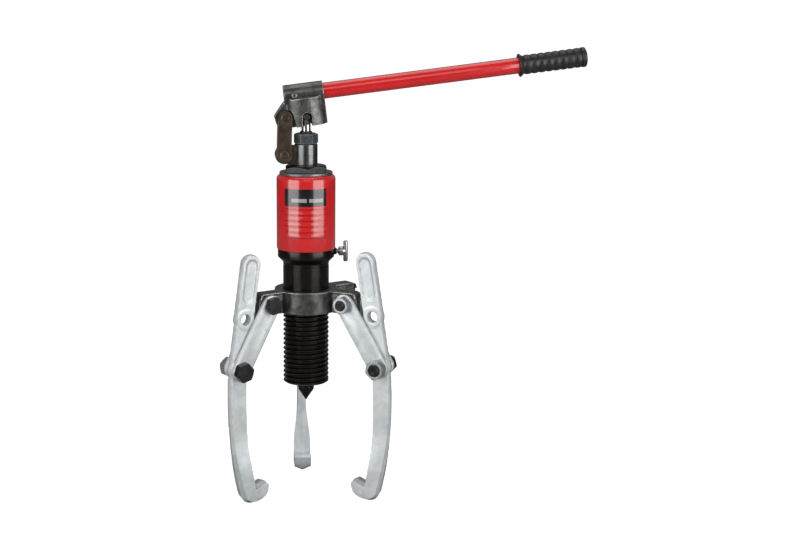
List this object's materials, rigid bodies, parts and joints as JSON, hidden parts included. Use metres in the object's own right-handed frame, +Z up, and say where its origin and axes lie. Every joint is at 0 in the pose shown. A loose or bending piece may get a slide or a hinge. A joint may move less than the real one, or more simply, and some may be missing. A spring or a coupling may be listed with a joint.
{
  "type": "hydraulic gear puller",
  "caption": "Self-contained hydraulic gear puller: hand pump with a long lever on a threaded barrel, screw-on yoke, straps and hooked swinging jaws.",
  "frame": {"origin": "the point of the ram with the ram retracted, on the barrel's axis", "axes": "+Z up the barrel to the pump, +X out along the pump handle, +Y away from the front"},
  "size_m": [0.3824, 0.1631, 0.4733],
  "materials": {
    "black_steel": "blackened turned steel, lightly oiled",
    "grey_steel": "turned steel with a phosphate tint",
    "dark_steel": "dark machined steel",
    "bright_steel": "bright ground or plated steel",
    "brown_steel": "brown oxidised steel plate",
    "cast_grey": "dark grey cast surface with worn edges",
    "red_enamel": "glossy red enamel",
    "label_print": "thin printed plate, no words",
    "rubber": "black nitrile rubber",
    "grip_rubber": "black ribbed grip",
    "zinc_steel": "forged steel, bright zinc plated",
    "zinc_nut": "zinc plated nut",
    "black_bolt": "black oxide bolt"
  },
  "bodies": {
    "cylinder": {"threaded_barrel": "black_steel", "rod_guide": "black_steel", "cylinder_head": "black_steel", "core_tube": "black_steel", "reservoir_shell": "red_enamel", "label": "label_print", "oil_bladder": "rubber", "clamp_washer": "black_steel", "lock_nut": "black_steel", "pump_body": "grey_steel", "gland_nut": "dark_steel", "plunger_seal": "rubber", "wiper_seal": "rubber", "check_balls": "bright_steel", "check_springs": "bright_steel", "valve_gland": "black_steel"},
    "ram": {"ram_rod": "bright_steel", "piston_head": "dark_steel", "piston_seal": "rubber", "centre_point": "black_steel", "return_spring": "bright_steel"},
    "release_valve": {"release_spindle": "bright_steel", "release_tbar": "bright_steel"},
    "link": {"link_front": "brown_steel", "link_rear": "brown_steel", "link_lower_pin": "brown_steel"},
    "lever": {"lever_socket": "cast_grey", "retaining_pin": "bright_steel", "handle_tube": "red_enamel", "handle_grip": "grip_rubber", "link_upper_pin": "brown_steel"},
    "plunger": {"plunger_rod": "bright_steel", "plunger_pin": "brown_steel"},
    "yoke": {"yoke": "cast_grey"},
    "straps_rear": {"strap_head_side_rear": "zinc_steel", "strap_nut_side_rear": "zinc_steel", "upper_bolt_rear": "black_bolt", "upper_nut_rear": "zinc_nut", "lower_bolt_rear": "black_bolt", "lower_nut_rear": "zinc_nut"},
    "jaw_rear": {"jaw_rear": "zinc_steel"},
    "straps_left": {"strap_head_side_left": "zinc_steel", "strap_nut_side_left": "zinc_steel", "upper_bolt_left": "black_bolt", "upper_nut_left": "zinc_nut", "lower_bolt_left": "black_bolt", "lower_nut_left": "zinc_nut"},
    "jaw_left": {"jaw_left": "zinc_steel"},
    "straps_right": {"strap_head_side_right": "zinc_steel", "strap_nut_side_right": "zinc_steel", "upper_bolt_right": "black_bolt", "upper_nut_right": "zinc_nut", "lower_bolt_right": "black_bolt", "lower_nut_right": "zinc_nut"},
    "jaw_right": {"jaw_right": "zinc_steel"}
  },
  "joints": [
    {"name": "ram_slide", "type": "slide", "parent": "cylinder", "child": "ram", "axis": [0, 0, -1], "range_m": [0, 0.05], "stiffness_N_per_m": 700, "springref_m": -0.02, "deforming": ["return_spring"]},
    {"name": "release_turn", "type": "hinge", "parent": "cylinder", "child": "release_valve", "pos_m": [0.0415, 0, 0.1602], "axis": [1, 0, 0], "range_deg": [0, 360]},
    {"name": "link_swing", "type": "hinge", "parent": "cylinder", "child": "link", "pos_m": [-0.0228, 0, 0.262], "axis": [0, -1, 0], "range_deg": [-1, 1]},
    {"name": "pump_stroke", "type": "hinge", "parent": "link", "child": "lever", "pos_m": [-0.0217, 0, 0.3002], "axis": [0, -1, 0], "range_deg": [-15, 24]},
    {"name": "plunger_slide", "type": "slide", "parent": "cylinder", "child": "plunger", "axis": [0, 0, 1], "range_m": [-0.006, 0.009]},
    {"name": "yoke_screw", "type": "slide", "parent": "cylinder", "child": "yoke", "axis": [0, 0, -1], "range_m": [0, 0.062]},
    {"name": "strap_swing_rear", "type": "hinge", "parent": "yoke", "child": "straps_rear", "pos_m": [0, 0.048, 0.1098], "axis": [1, 0, 0], "range_deg": [-8, 22]},
    {"name": "jaw_swing_rear", "type": "hinge", "parent": "straps_rear", "child": "jaw_rear", "pos_m": [0, 0.08607, 0.04518], "axis": [1, 0, 0], "range_deg": [-10, 0]},
    {"name": "strap_swing_left", "type": "hinge", "parent": "yoke", "child": "straps_left", "pos_m": [-0.04157, -0.024, 0.1098], "axis": [-0.5, 0.866, 0], "range_deg": [-8, 22]},
    {"name": "jaw_swing_left", "type": "hinge", "parent": "straps_left", "child": "jaw_left", "pos_m": [-0.07355, -0.04247, 0.04452], "axis": [-0.5, 0.866, 0], "range_deg": [-10, 0]},
    {"name": "strap_swing_right", "type": "hinge", "parent": "yoke", "child": "straps_right", "pos_m": [0.04157, -0.024, 0.1098], "axis": [-0.5, -0.866, 0], "range_deg": [-8, 22]},
    {"name": "jaw_swing_right", "type": "hinge", "parent": "straps_right", "child": "jaw_right", "pos_m": [0.0756, -0.04365, 0.04592], "axis": [-0.5, -0.866, 0], "range_deg": [-10, 0]}
  ],
  "couplings": [
    {"joint": "link_swing", "follows": "pump_stroke", "ratio": -0.034},
    {"joint": "plunger_slide", "follows": "pump_stroke", "m_per_rad": 0.0206}
  ]
}
